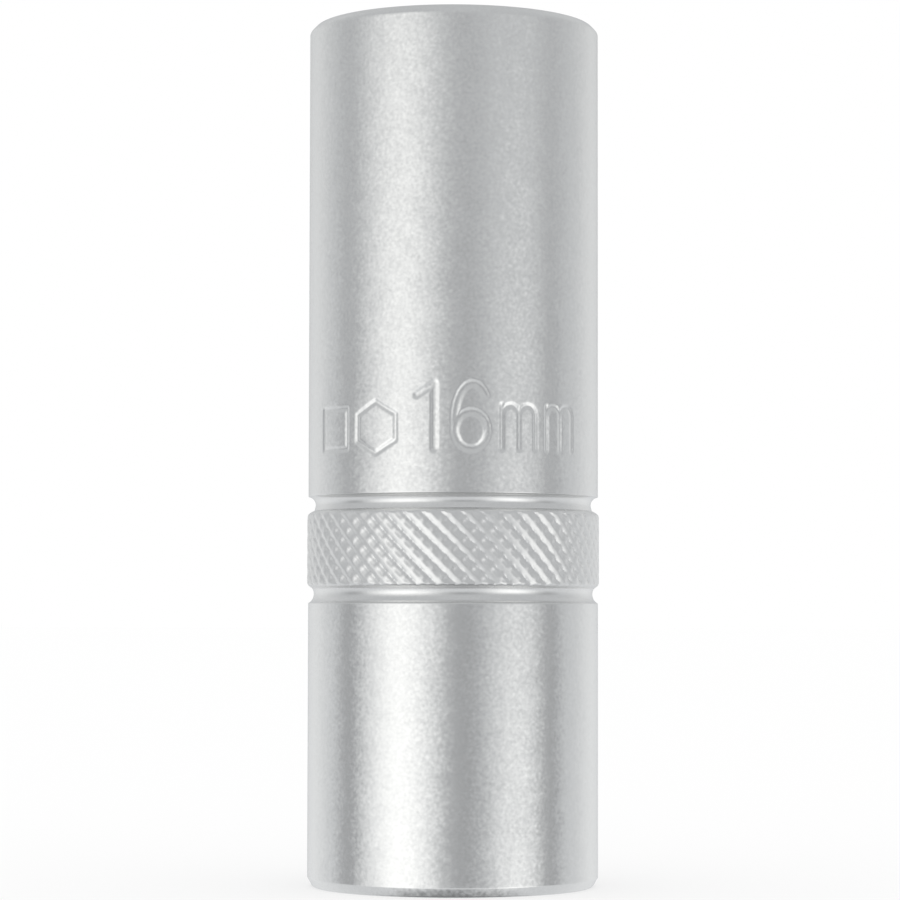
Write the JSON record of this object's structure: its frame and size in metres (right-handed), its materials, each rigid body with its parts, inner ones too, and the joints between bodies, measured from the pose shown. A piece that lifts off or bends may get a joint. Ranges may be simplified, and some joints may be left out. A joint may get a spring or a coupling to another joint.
{
  "type": "spark plug socket",
  "caption": "Deep cylindrical socket with a relieved hexagon at one end, a square drive at the other, a knurled grip band between turned grooves, and a rubber insert that holds the plug.",
  "frame": {"origin": "middle of the drive end's face, on the axis", "axes": "+Z along the axis towards the hexagon's mouth; +X square to a flat of the hexagon and of the drive"},
  "size_m": [0.022, 0.022, 0.065],
  "materials": {
    "satin_chrome": "satin chrome plating, finely grained",
    "black_rubber": "matte moulded rubber"
  },
  "bodies": {
    "root": {"socket_body": "satin_chrome", "rubber_insert": "black_rubber"}
  },
  "joints": []
}
